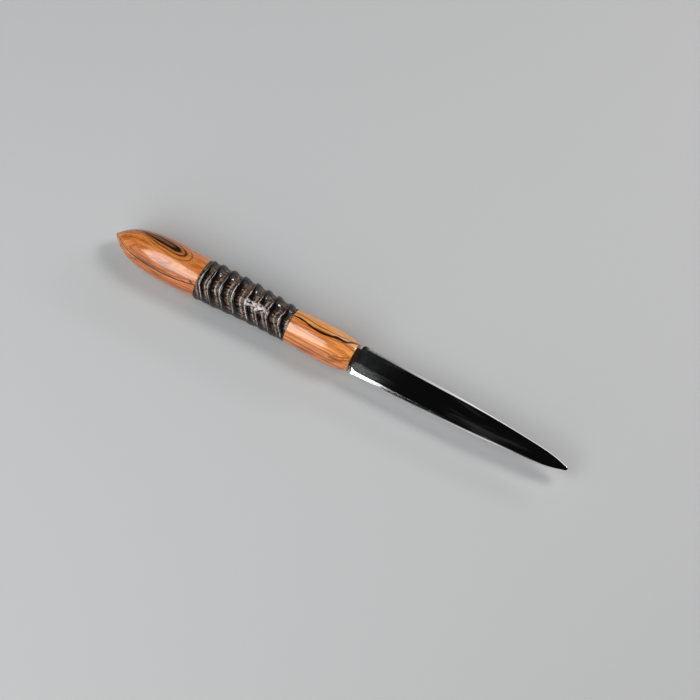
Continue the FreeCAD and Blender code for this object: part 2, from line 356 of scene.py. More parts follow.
@dataclass(frozen=True)
class Figure:
    """An eye in the grain, where the turning cuts the growth rings flat.

    station and turn are its middle, half and width its half length and the half
    width of its core, and slant how it leans.  rings are the colours outwards
    from its middle, by distance in millimetres, as far as reach.
    """

    station: float
    turn: float
    half: float
    width: float
    slant: float
    reach: float
    rings: tuple[tuple[float, Colour], ...]


@dataclass(frozen=True)
class OliveWood:
    """Oiled and lacquered olive wood: warm bands, fine lines and dark veins, with a nose face painted nearly
    black for its darker end grain and painted shade.
    """

    name: str
    start: float
    length: float
    radius: float
    grain_turn: float
    band_width: float
    seed: float
    pale: Colour = (0.72, 0.285, 0.075)
    warm: Colour = (0.56, 0.17, 0.036)
    brown: Colour = (0.25, 0.066, 0.015)
    sapwood: Colour = (0.7, 0.33, 0.1)
    # Nearly black: the nose face's darker end grain with painted shade on top.
    end_grain_and_shade: Colour = (0.05, 0.018, 0.007)
    line_tint: Colour = (0.62, 0.42, 0.3)
    pore_tint: Colour = (0.45, 0.28, 0.2)
    eye_tint: Colour = (0.5, 0.36, 0.28)
    veins: tuple[Vein, ...] = ()
    figure: Figure | None = None
    pale_turn: float | None = None

    def make(self) -> bpy.types.Material:
        """Build the wood.

        Returns:
            The material.
        """
        wood = Material(self.name)
        warp = wood.noise(wood.stretched(0.02, 0.1, self.seed), 1.0, 2.0)
        lean = math.radians(self.grain_turn)
        level = wood.z * math.cos(lean) - wood.y * math.sin(lean)
        rings = level / self.band_width + warp * 3.0
        broad = (rings * math.tau).math("SINE") * 0.5 + 0.5
        narrow = (rings * (math.tau * 3.3) + warp * 9).math("SINE") * 0.5 + 0.5
        cloud = wood.noise(wood.stretched(0.02, 0.4, self.seed + 7), 1.0, 3.0)
        tone = broad * 0.3 + narrow * 0.2 + cloud * 0.75 - 0.12
        colour = wood.ramp(tone, [(0.18, self.pale), (0.5, self.warm), (0.88, self.brown)])
        turn = wood.angle()
        if self.pale_turn is not None:
            side = (turn - self.pale_turn + (warp - 0.5) * 30).ease(6, -10)
            colour = wood.mix(side * 0.8, colour, self.sapwood)
        fibres = wood.noise(wood.stretched(0.1, 4.5, self.seed), 1.0, 3.0)
        lines = wood.noise(wood.stretched(0.03, 1.5, self.seed + 5), 1.0, 2.0)
        pores = wood.noise(wood.stretched(0.35, 9.0, self.seed), 1.0, 1.0)
        colour = wood.mix(lines.ease(0.5, 0.68) * 0.6, colour, self.line_tint, Blend.DARKER)
        colour = wood.mix(fibres.ease(0.42, 0.72) * 0.5, colour, self.line_tint, Blend.DARKER)
        colour = wood.mix(pores.ease(0.63, 0.74) * 0.5, colour, self.pore_tint, Blend.DARKER)
        station = (wood.x - self.start) / self.length
        ripple = wood.noise(wood.stretched(0.16, 0.9, self.seed + 3), 1.0, 3.0)
        if self.figure is not None:
            colour = self.lay_figure(wood, colour, turn, ripple)
        for vein in self.veins:
            mask = vein.mask(wood, station, turn, self.radius, ripple)
            colour = wood.mix(mask, colour, vein.colour)
        # The nose face is painted nearly black: darker end grain and painted shade.
        nose_face_shade = (wood.x - (NOSE / MM - 0.35)).ease(0.0, 0.3)
        colour = wood.mix(nose_face_shade, colour, self.end_grain_and_shade)
        relief = wood.bump(pores * -0.5 + fibres * 0.3, 0.000006)
        rough = fibres * 0.12 + 0.4
        return wood.finish(
            base_color=colour, roughness=rough, normal=relief, specular_ior_level=0.1,
            coat_weight=0.75, coat_roughness=0.15, coat_ior=1.75,
        )

    def lay_figure(
        self, wood: Material, colour: bpy.types.NodeSocket, turn: Value, ripple: Value
    ) -> bpy.types.NodeSocket:
        """Lay the eye over the wood's colour.

        Args:
            wood: the material.
            colour: its colour so far.
            turn: the angle round the handle.
            ripple: noise that makes the eye's rings uneven.

        Returns:
            The new colour.
        """
        eye = self.figure
        along = wood.x - self.start - eye.station
        across = (turn - eye.turn) * (self.radius * math.radians(1)) + along * eye.slant
        away = across + (ripple - 0.5) * 0.9
        blunt = (along + (ripple - 0.5) * 1.2 + eye.half) / (eye.half * 2)
        taper = blunt.ease(0.0, 0.5) * 0.55 + 0.45
        ahead = (blunt - 0.5).size() * 2
        distance = (away * away / (taper * taper) + (ahead ** 4) * eye.width ** 2).math("SQRT")
        rings = wood.ramp(distance / eye.reach, [(mm / eye.reach, ring) for mm, ring in eye.rings])
        streaks = wood.noise(wood.stretched(0.05, 2.2, self.seed + 9), 1.0, 2.0)
        rings = wood.mix(streaks.ease(0.4, 0.62) * 0.55, rings, self.eye_tint, Blend.DARKER)
        return wood.mix((distance / eye.reach).ease(0.98, 0.7), colour, rings)


@dataclass(frozen=True)
class LacqueredHorn:
    """Ringed horn under lacquer: black crests, brown fibrous valleys, pale and pink ring lines that are part
    wear and part painted highlight, and painted shade down its sides.
    """

    name: str = "ridged_horn"
    black: Colour = (0.0035, 0.0025, 0.0025)
    brown: Colour = (0.095, 0.06, 0.04)
    tan: Colour = (0.42, 0.22, 0.09)
    # pale and pink colour the ring lines, which are part wear and part painted highlight; pale also colours
    # the healed scar's crumbs.
    pale: Colour = (0.62, 0.55, 0.52)
    pink: Colour = (0.36, 0.275, 0.24)

    def make(self) -> bpy.types.Material:
        """Build the horn.

        Returns:
            The material.
        """
        horn = Material(self.name)
        turns = Value(horn, horn.make("ShaderNodeAttribute", {"attribute_name": "ring"}, {}).outputs["Fac"])
        scar = Value(horn, horn.make("ShaderNodeAttribute", {"attribute_name": "scar"}, {}).outputs["Fac"])
        wear_and_sheen = Value(horn, horn.make("ShaderNodeAttribute", {"attribute_name": "wear_and_sheen"}, {}).outputs["Fac"])
        fibres = horn.noise(horn.stretched(0.22, 0.95), 1.0, 3.0)
        hairs = horn.noise(horn.stretched(0.45, 1.6, 4.0), 1.0, 3.0)
        patches = horn.noise(horn.stretched(0.22, 0.3, 9.0), 1.0, 3.0)
        phase = (turns + (hairs - 0.5) * 0.22).part()
        valley = phase.ease(0.25, 0.5) * phase.ease(1.0, 0.9)
        comb = fibres.ease(0.44, 0.56)
        # Painted shade: the horn's colour darkens from 60 degrees off the top round both sides, and
        # underneath.
        painted_side_shade = horn.angle().size().ease(84.0, 60.0) * 0.8 + 0.2
        shade = valley * (comb * 0.97 + 0.03) * (patches * 0.8 + 0.5) * painted_side_shade
        colour = horn.mix(shade, self.black, self.brown)
        # Pink lines in the valleys and pale lines at the foot of each crest: part paler worn horn, part
        # painted highlight, faded out round the sides by the wear and sheen mark.
        lip = (phase - 0.62).size().ease(0.12, 0.02)
        colour = horn.mix(lip * hairs.ease(0.4, 0.56) * wear_and_sheen * 0.9, colour, self.pink)
        edge = (phase - 0.97).size().ease(0.07, 0.02)
        colour = horn.mix(edge * hairs.ease(0.34, 0.5) * wear_and_sheen, colour, self.pale)
        flecks = horn.noise(horn.stretched(0.55, 0.8, 2.0), 1.0, 1.0).ease(0.66, 0.76)
        colour = horn.mix(flecks * valley * 0.85, colour, self.tan)
        crumbs = horn.noise(horn.stretched(0.75, 0.9, 5.0), 1.0, 4.0).ease(0.4, 0.58)
        colour = horn.mix(scar * crumbs * 0.9, colour, self.pale)
        rough = patches * 0.25 + valley * 0.2 + 0.2
        relief = horn.bump(fibres * 0.7 + hairs * (valley * 0.6 + 0.1) + crumbs * scar * 0.8, 0.00022)
        return horn.finish(
            base_color=colour, roughness=rough, normal=relief, specular_ior_level=0.1,
            coat_weight=0.4, coat_roughness=0.06, coat_ior=1.7,
        )


@dataclass(frozen=True)
class MirrorSteel:
    """Polished stainless steel with faint lengthwise marks, a little duller by the handle."""

    name: str = "polished_steel"
    colour: Colour = (0.9, 0.9, 0.91)
    haze: Colour = (0.78, 0.74, 0.7)

    def make(self) -> bpy.types.Material:
        """Build the steel.

        Returns:
            The material.
        """
        steel = Material(self.name)
        marks = steel.noise(steel.stretched(0.05, 5.0), 1.0, 3.0)
        smears = steel.noise(steel.stretched(0.03, 0.25, 3.0), 1.0, 3.0)
        scratches = steel.noise(steel.stretched(0.02, 14.0, 8.0), 1.0, 1.0)
        colour = steel.mix(smears.ease(0.4, 0.75) * 0.6, self.colour, self.haze)
        mottle = steel.noise(steel.stretched(0.22, 0.16, 5.0), 1.0, 3.0)
        handled = (steel.x - NOSE / MM).ease(36.0, 0.0) * (mottle * 0.7 + 0.3)
        breath = smears.ease(0.5, 0.68)
        rough = handled * 0.15 + breath * 0.12 + scratches.ease(0.62, 0.75) * 0.05 + 0.07
        relief = steel.bump(marks * 0.6 + scratches * 0.2, 0.0000012)
        return steel.finish(base_color=colour, metallic=1.0, roughness=rough, normal=relief)


@dataclass(frozen=True)
class PlainFinish:
    """A finish for an inner piece: one colour with a darker grain along the handle."""

    name: str
    colour: Colour
    grain: Colour
    roughness: float
    metallic: float = 0.0
    along: float = 0.1
    across: float = 3.0

    def make(self) -> bpy.types.Material:
        """Build the finish.

        Returns:
            The material.
        """
        plain = Material(self.name)
        streaks = plain.noise(plain.stretched(self.along, self.across), 1.0, 3.0)
        colour = plain.mix(streaks.ease(0.35, 0.7), self.colour, self.grain)
        rough = streaks * 0.2 + (self.roughness - 0.1)
        relief = plain.bump(streaks, 0.00002)
        return plain.finish(base_color=colour, metallic=self.metallic, roughness=rough, normal=relief)


# ------------------------------------------------------------------ mesh tools


def arc(start: Vector, end: Vector, heading: float, steps: int) -> tuple[list[Vector], float]:
    """Walk an arc that leaves one point on a heading and ends at another.

    Args:
        start: where the arc starts.
        end: where it ends.
        heading: its direction at the start, in radians.
        steps: how many pieces it is cut into.

    Returns:
        The points after the start, and the heading at the end.
    """
    chord = end - start
    turn = 2 * math.remainder(math.atan2(chord.y, chord.x) - heading, math.tau)
    radius = chord.length / (2 * math.sin(turn / 2))
    spin = Matrix.Rotation(heading, 2)
    points = []
    for step in range(1, steps + 1):
        swept = turn * step / steps
        points.append(start + spin @ Vector((math.sin(swept), 1 - math.cos(swept))) * radius)
    return points, heading + turn


def straight(start: Vector, end: Vector, steps: int) -> list[Vector]:
    """Evenly spaced points on a line, without its start."""
    return [start.lerp(end, step / steps) for step in range(1, steps + 1)]


def chain(mesh: BMesh, points: Sequence[Vector], place: Callable[[Vector], Vector]) -> list[BMEdge]:
    """Join points with edges.

    Args:
        mesh: the mesh that they go into.
        points: the points, in order.
        place: gives each point's position in space.

    Returns:
        The edges, in order.
    """
    verts = [mesh.verts.new(place(point)) for point in points]
    return [mesh.edges.new(pair) for pair in zip(verts, verts[1:])]


def turn_round(mesh: BMesh, edges: Sequence[BMEdge], steps: int) -> None:
    """Spin a profile right round the handle's axis."""
    verts = {vert for edge in edges for vert in edge.verts}
    bmesh.ops.spin(
        mesh, geom=[*verts, *edges], cent=(0, 0, AXIS_HEIGHT), axis=(1, 0, 0), angle=math.tau,
        steps=steps, use_merge=True, use_duplicate=False,
    )


def turned(profile: Sequence[Vector], origin: float, steps: int) -> BMesh:
    """Turn a half profile into a mesh.

    Args:
        profile: its points, each a station and a radius, in millimetres.
        origin: where its stations are measured from, in metres.
        steps: how many facets there are round it.

    Returns:
        The new mesh.
    """
    mesh = bmesh.new()
    edges = chain(mesh, profile, lambda spot: on_circle(origin + spot.x * MM, 0.0, spot.y * MM))
    turn_round(mesh, edges, steps)
    bmesh.ops.remove_doubles(mesh, verts=mesh.verts, dist=WELD)
    return mesh


def pull(mesh: BMesh, edges: Sequence[BMEdge], place: Callable[[BMVert], Vector]) -> list[BMEdge]:
    """Extrude edges and put each new vertex in its place.

    Args:
        mesh: the mesh.
        edges: the edges to extrude.
        place: gives a new vertex's position from the vertex that was copied.

    Returns:
        The new edges.
    """
    made = bmesh.ops.extrude_edge_only(mesh, edges=edges)["geom"]
    verts = [item for item in made if isinstance(item, BMVert)]
    places = [place(vert) for vert in verts]
    for vert, spot in zip(verts, places):
        vert.co = spot
    fresh = set(verts)
    return [item for item in made if isinstance(item, BMEdge) and set(item.verts) <= fresh]


def round_edges(mesh: BMesh, edges: Sequence[BMEdge], radius: float, segments: int = 3) -> None:
    """Ease sharp edges with a small rounding."""
    bmesh.ops.bevel(
        mesh, geom=list(edges), offset=radius, offset_type="OFFSET", affect="EDGES",
        segments=segments, profile=0.5, material=-1, clamp_overlap=True,
    )


def loose_loop(mesh: BMesh, station: float) -> list[BMEdge]:
    """The open border that lies at one station along the handle."""
    found = []
    for edge in mesh.edges:
        if edge.is_boundary and all(abs(vert.co.x - station) < SAME_STATION for vert in edge.verts):
            found.append(edge)
    return found


def ring_edges(mesh: BMesh, station: float, radius: float) -> list[BMEdge]:
    """The edges of one ring round the handle."""
    found = []
    for edge in mesh.edges:
        if all(abs(vert.co.x - station) < SAME_STATION for vert in edge.verts):
            if all(abs(from_axis(vert.co) - radius) < 2e-5 for vert in edge.verts):
                found.append(edge)
    return found


def from_axis(spot: Vector) -> float:
    """How far a place is from the handle's axis."""
    return math.hypot(spot.y, spot.z - AXIS_HEIGHT)


def on_circle(station: float, turn: float, radius: float, aside: float = 0.0) -> Vector:
    """A place on a circle round the handle's axis, or round a line beside it."""
    return Vector((station, aside - radius * math.sin(turn), AXIS_HEIGHT + radius * math.cos(turn)))


def turn_of(spot: Vector) -> float:
    """The angle round the handle of a place, in radians."""
    return math.atan2(-spot.y, spot.z - AXIS_HEIGHT)


def piece(name: str, mesh: BMesh, material: bpy.types.Material, node: str) -> bpy.types.Object:
    """Make a finished piece from a mesh.

    Args:
        name: the piece's name.
        mesh: its mesh, in the row frame, in metres.
        material: its finish.
        node: the CAD node that it replaces.

    Returns:
        The new object.
    """
    bmesh.ops.remove_doubles(mesh, verts=mesh.verts, dist=WELD)
    bmesh.ops.dissolve_degenerate(mesh, edges=mesh.edges, dist=1e-8)
    bmesh.ops.recalc_face_normals(mesh, faces=mesh.faces)
    loose = [edge for edge in mesh.edges if not edge.is_manifold]
    data = bpy.data.meshes.new(name)
    mesh.to_mesh(data)
    mesh.free()
    data.shade_smooth()
    data.set_sharp_from_angle(angle=SHARP_ANGLE)
    data.materials.append(material)
    made = bpy.data.objects.new(name, data)
    bpy.context.scene.collection.objects.link(made)
    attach(made, ROOT)
    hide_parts(node)
    log.info("%s: %d faces, %d open edges", name, len(data.polygons), len(loose))
    return made


def through(knots: Sequence[Point], turn: float) -> float:
    """A smooth closed curve round the handle.

    Args:
        knots: pairs of an angle in degrees, rising from -180, and a value.
        turn: the angle to read it at, in degrees.

    Returns:
        The value there.
    """
    count = len(knots)
    place = next((i for i in range(count - 1, -1, -1) if knots[i][0] <= turn), 0)
    following = knots[(place + 1) % count]
    end = following[0] if place + 1 < count else following[0] + 360
    share = (turn - knots[place][0]) / (end - knots[place][0])
    before, this, after, beyond = (knots[(place + step) % count][1] for step in (-1, 0, 1, 2))
    bend = 2 * before - 5 * this + 4 * after - beyond
    twist = 3 * this - before - 3 * after + beyond
    return this + 0.5 * share * (after - before + share * (bend + share * twist))


def smooth(low: float, high: float, number: float) -> float:
    """A smooth step from 0, where the number is low, to 1, where it is high."""
    share = min(1.0, max(0.0, (number - low) / (high - low)))
    return share * share * (3 - 2 * share)


# ---------------------------------------------------------------------- pieces


@dataclass
class Pommel:
    """The turned wooden end: a pointed ogive with a blind bore for the rod.

    Stations are millimetres from its point.
    """

    shoulder: Point = (15.0, 9.1)
    widest: Point = (31.6, 10.85)
    rim_radius: float = 10.15
    tip_radius: float = 0.22
    bore_radius: float = 3.3
    bore_depth: float = 32.5
    rim_round: float = 0.12
    steps: int = 160

    def __post_init__(self) -> None:
        """Read the piece's ends from the frame."""
        low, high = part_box("pommel")
        self.back = low.x
        self.length = (high.x - low.x) / MM

    def profile(self) -> list[Vector]:
        """The half profile from the point to the bore's end, in millimetres.

        Returns:
            The points, each a station and a radius.
        """
        widest, shoulder = Vector(self.widest), Vector(self.shoulder)
        rim = Vector((self.length, self.rim_radius))
        cheek, heading = arc(widest, shoulder, math.pi, 34)
        nose, _ = arc(shoulder, Vector((0.0, 0.0)), heading, 40)
        rear, _ = arc(widest, rim, 0.0, 28)
        outside = [spot for spot in reversed(nose) if spot.y > self.tip_radius]
        tip = [Vector((0.1, 0.0)), Vector((0.125, 0.09)), Vector((0.2, 0.17))]
        floor = self.length - self.bore_depth
        inside = [
            Vector((self.length, self.bore_radius + 3)),
            Vector((self.length, self.bore_radius)),
            Vector((floor, self.bore_radius)),
            Vector((floor, 0.0)),
        ]
        return [*tip, *outside, *reversed(cheek[:-1]), widest, *rear, *inside]

    def build(self, wood: OliveWood) -> bpy.types.Object:
        """Turn the pommel and dress it.

        Args:
            wood: its finish.

        Returns:
            The finished piece.
        """
        mesh = turned(self.profile(), self.back, self.steps)
        rim = ring_edges(mesh, self.back + self.length * MM, self.rim_radius * MM)
        round_edges(mesh, rim, self.rim_round * MM)
        return piece("turned_pommel", mesh, wood.make(), "pommel")


@dataclass
class FrontGrip:
    """The turned wooden front piece: it swells, then rounds in to the nose face.

    Stations are millimetres behind the nose face.
    """

    rim_radius: float = 8.7
    widest: Point = (15.4, 9.35)
    shoulder: Point = (4.9, 8.55)
    nose_radius: float = 7.15
    nose_round: float = 0.5
    bore_radius: float = 3.3
    bore_depth: float = 12.0
    slot_half: Point = (3.45, 1.4)
    slot_depth: float = 20.5
    rim_round: float = 0.12
    steps: int = 160

    def __post_init__(self) -> None:
        """Read the piece's ends from the frame."""
        low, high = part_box("front_grip")
        self.front = high.x
        self.length = (high.x - low.x) / MM

    def profile(self) -> list[Vector]:
        """The half profile from the rear bore's end to the nose face, in millimetres.

        Returns:
            The points, each a station behind the nose, below 0, and a radius.
        """
        widest, shoulder = (Vector((-back, radius)) for back, radius in (self.widest, self.shoulder))
        rim, nose = Vector((-self.length, self.rim_radius)), Vector((0.0, self.nose_radius))
        rear, _ = arc(widest, rim, math.pi, 34)
        cheek, heading = arc(widest, shoulder, 0.0, 26)
        front, _ = arc(shoulder, nose, heading, 18)
        floor = self.bore_depth - self.length
        inside = [
            Vector((floor, 0.0)),
            Vector((floor, self.bore_radius)),
            Vector((-self.length, self.bore_radius)),
            Vector((-self.length, self.bore_radius + 3)),
        ]
        face = Vector((0.0, 5.2))
        return [*inside, *reversed(rear), widest, *cheek, *front, face]

    def to_slot(self, spot: Vector) -> Vector:
        """The place on the tang slot's border in the same direction from the axis."""
        across, up = (half * MM for half in self.slot_half)
        ahead = Vector((0.0, spot.y, spot.z - AXIS_HEIGHT))
        share = min(across / max(abs(ahead.y), 1e-9), up / max(abs(ahead.z), 1e-9))
        return Vector((spot.x, ahead.y * share, AXIS_HEIGHT + ahead.z * share))

    def build(self, wood: OliveWood) -> bpy.types.Object:
        """Turn the front grip, cut its slot and dress it.

        Args:
            wood: its finish.

        Returns:
            The finished piece.
        """
        mesh = turned(self.profile(), self.front, self.steps)
        mouth = pull(mesh, loose_loop(mesh, self.front), lambda vert: self.to_slot(vert.co))
        deep = Vector((self.slot_depth * MM, 0.0, 0.0))
        end = pull(mesh, mouth, lambda vert: vert.co - deep)
        bmesh.ops.contextual_create(mesh, geom=end)
        round_edges(mesh, ring_edges(mesh, self.front, self.nose_radius * MM), self.nose_round * MM, 5)
        rim = ring_edges(mesh, self.front - self.length * MM, self.rim_radius * MM)
        round_edges(mesh, rim, self.rim_round * MM)
        return piece("turned_front_grip", mesh, wood.make(), "front_grip")


@dataclass
class HornSleeve:
    """The ringed horn: uneven rings that sweep forward down both sides, and a healed scar.

    Stations are millimetres from its rear end, and depths are below the crests' line.
    """

    rear_radius: float = 10.25
    front_radius: float = 8.8
    crest_rear: float = 11.2
    crest_front: float = 9.3
    bow: float = 0.75
    bore_radius: float = 5.5
    crests: tuple[float, ...] = (1.45, 5.9, 12.45, 19.1, 26.6, 32.55, 38.6, 45.75)
    heights: tuple[float, ...] = (0.62, 1.0, 1.02, 0.98, 1.0, 0.9, 0.95, 0.85)
    usual_gap: float = 6.4
    sweep: tuple[Point, ...] = (
        (-180, 3.4), (-130, 1.5), (-80, 0.1), (-32, 0.55), (-8, 0.45), (12, 0.0), (30, 0.5),
        (50, 2.3), (70, 3.8), (115, 4.5),
    )
    valleys: tuple[Point, ...] = (
        (-180, 0.6), (-110, 0.9), (-80, 1.1), (-10, 1.15), (14, 1.0), (45, 0.75), (75, 0.45),
        (120, 0.4),
    )
    scar_middle: Point = (32.3, 19.0)
    scar_half: Point = (6.2, 13.0)
    scar_relief: float = 0.28
    groove_depth: float = 0.07
    grain_depth: float = 0.035
    # Painted highlight: past these angles the ring lines fade out, on the far side and on the near side.
    sheen_sides: tuple[Point, Point] = ((-24, -6), (84, 60))
    seed: float = 11.3
    stations: int = 250
    steps: int = 372

    def __post_init__(self) -> None:
        """Read the sleeve's ends from the frame."""
        low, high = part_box("horn_sleeve")
        self.back = low.x
        self.length = (high.x - low.x) / MM

    def rough(self, station: float, degrees: float, scale: Point, seed: float) -> float:
        """Noise on the sleeve's surface that closes round it.

        Args:
            station: millimetres from the rear end.
            degrees: the angle round the handle.
            scale: repeats per millimetre along and round the sleeve.
            seed: which noise.

        Returns:
            A number between about -1 and 1.
        """
        turn = math.radians(degrees)
        reach = 10 * scale[1]
        spot = Vector((station * scale[0], math.cos(turn) * reach, math.sin(turn) * reach))
        return noise.noise(spot + Vector((seed, self.seed, 2 * seed)))

    def scar(self, station: float, degrees: float) -> float:
        """How much of the healed scar there is at a place, from 0 to 1."""
        along = (station - self.scar_middle[0]) / self.scar_half[0]
        around = (degrees - self.scar_middle[1]) / self.scar_half[1]
        ragged = 0.35 * self.rough(station, degrees, (0.3, 0.4), 5.0)
        return smooth(1.25, 0.6, math.hypot(along, around) + ragged)

    def phase(self, station: float, degrees: float, scar: float) -> float:
        """How many rings lie behind a place, counted along the horn's own growth lines."""
        wander = 0.55 * self.rough(station, degrees, (0.09, 0.13), 1.0)
        wander += 0.16 * self.rough(station, degrees, (0.3, 0.6), 2.0)
        wander += scar * 2.6 * self.rough(station, degrees, (0.22, 0.33), 3.0)
        local = station - through(self.sweep, degrees) - wander
        if local < self.crests[0]:
            return (local - self.crests[0]) / self.usual_gap
        for ring, (this, following) in enumerate(zip(self.crests, self.crests[1:])):
            if local < following:
                return ring + (local - this) / (following - this)
        return len(self.crests) - 1 + (local - self.crests[-1]) / self.usual_gap

    def ring_shape(self, share: float) -> float:
        """A ring's height, from 0 in the valley to 1 on the crest, at a share of the way to the next."""
        steep = smooth(0.8, 0.985, share)
        gentle = smooth(0.64, 0.12, share)
        lip = 0.17 * math.exp(-(((share - 0.63) / 0.07) ** 2))
        return max(steep, gentle) + lip

    def surface(self, station: float, turn: float) -> tuple[Vector, float, float, float]:
        """Where the horn's surface is.

        Args:
            station: millimetres from the rear end.
            turn: the angle round the handle, in radians.

        Returns:
            The place, the ring count there, how much scar there is, and how strongly the ring lines show,
            from wear and painted highlight.
        """
        degrees = math.degrees(turn)
        share = station / self.length
        scar = self.scar(station, degrees)
        phase = self.phase(station, degrees, scar)
        ring = math.floor(phase)
        rise = self.ring_shape(phase - ring)
        nearest = min(max(round(phase), 0), len(self.heights) - 1)
        crest = self.crest_rear + (self.crest_front - self.crest_rear) * share
        depth = through(self.valleys, degrees) * (1 + 0.18 * self.rough(station, degrees, (0.1, 0.2), 4.0))
        top = crest - (1 - self.heights[nearest]) * 0.9
        radius = top - depth * (1 - rise) * (1 - 0.55 * scar)
        radius += scar * (self.scar_relief * self.rough(station, degrees, (0.5, 0.6), 6.0) - 0.12)
        grooves = self.rough(station, degrees, (0.12, 1.3), 7.0)
        grain = self.rough(station, degrees, (0.5, 0.9), 8.0)
        radius += self.groove_depth * grooves * (1.25 - rise) + self.grain_depth * grain
        ends = smooth(0.0, 1.3, station), smooth(0.0, 1.6, self.length - station)
        radius = self.rear_radius + (radius - self.rear_radius) * ends[0]
        radius = self.front_radius + (radius - self.front_radius) * ends[1]
        aside = 4 * self.bow * share * (1 - share)
        # Wear that varies at random along the horn, times a painted highlight that fades the ring lines out
        # round both sides.
        wear_and_sheen = smooth(-0.35, 0.3, self.rough(station, degrees, (0.12, 0.25), 9.0)) * 0.6 + 0.4
        far_side, near_side = self.sheen_sides
        wear_and_sheen *= smooth(*far_side, degrees) * smooth(*near_side, degrees) * 0.9 + 0.1
        spot = on_circle(self.back + station * MM, turn, radius * MM, aside * MM)
        return spot, phase, scar, wear_and_sheen

    def build(self, horn: LacqueredHorn) -> bpy.types.Object:
        """Carve the sleeve's rings, bore it and dress it.

        Args:
            horn: its finish.

        Returns:
            The finished piece.
        """
        mesh = bmesh.new()
        front = self.back + self.length * MM
        ends = [Vector((self.back, self.crest_rear * MM)), Vector((front, self.crest_rear * MM))]
        edges = chain(mesh, ends, lambda spot: on_circle(spot.x, 0.0, spot.y))
        bmesh.ops.subdivide_edges(mesh, edges=edges, cuts=self.stations - 1)
        turn_round(mesh, mesh.edges[:], self.steps)
        layers = [mesh.verts.layers.float.new(name) for name in ("ring", "scar", "wear_and_sheen")]
        for vert in mesh.verts:
            station = (vert.co.x - self.back) / MM
            vert.co, *marks = self.surface(station, turn_of(vert.co))
            for layer, mark in zip(layers, marks):
                vert[layer] = mark
        inner = []
        for station in (self.back, front):
            inner += pull(mesh, loose_loop(mesh, station), self.to_bore)
        bmesh.ops.bridge_loops(mesh, edges=inner)
        return piece("ringed_horn_sleeve", mesh, horn.make(), "horn_sleeve")

    def to_bore(self, vert: BMVert) -> Vector:
        """The place on the bore's mouth in line with a vertex of the sleeve's end."""
        return on_circle(vert.co.x, turn_of(vert.co), self.bore_radius * MM)


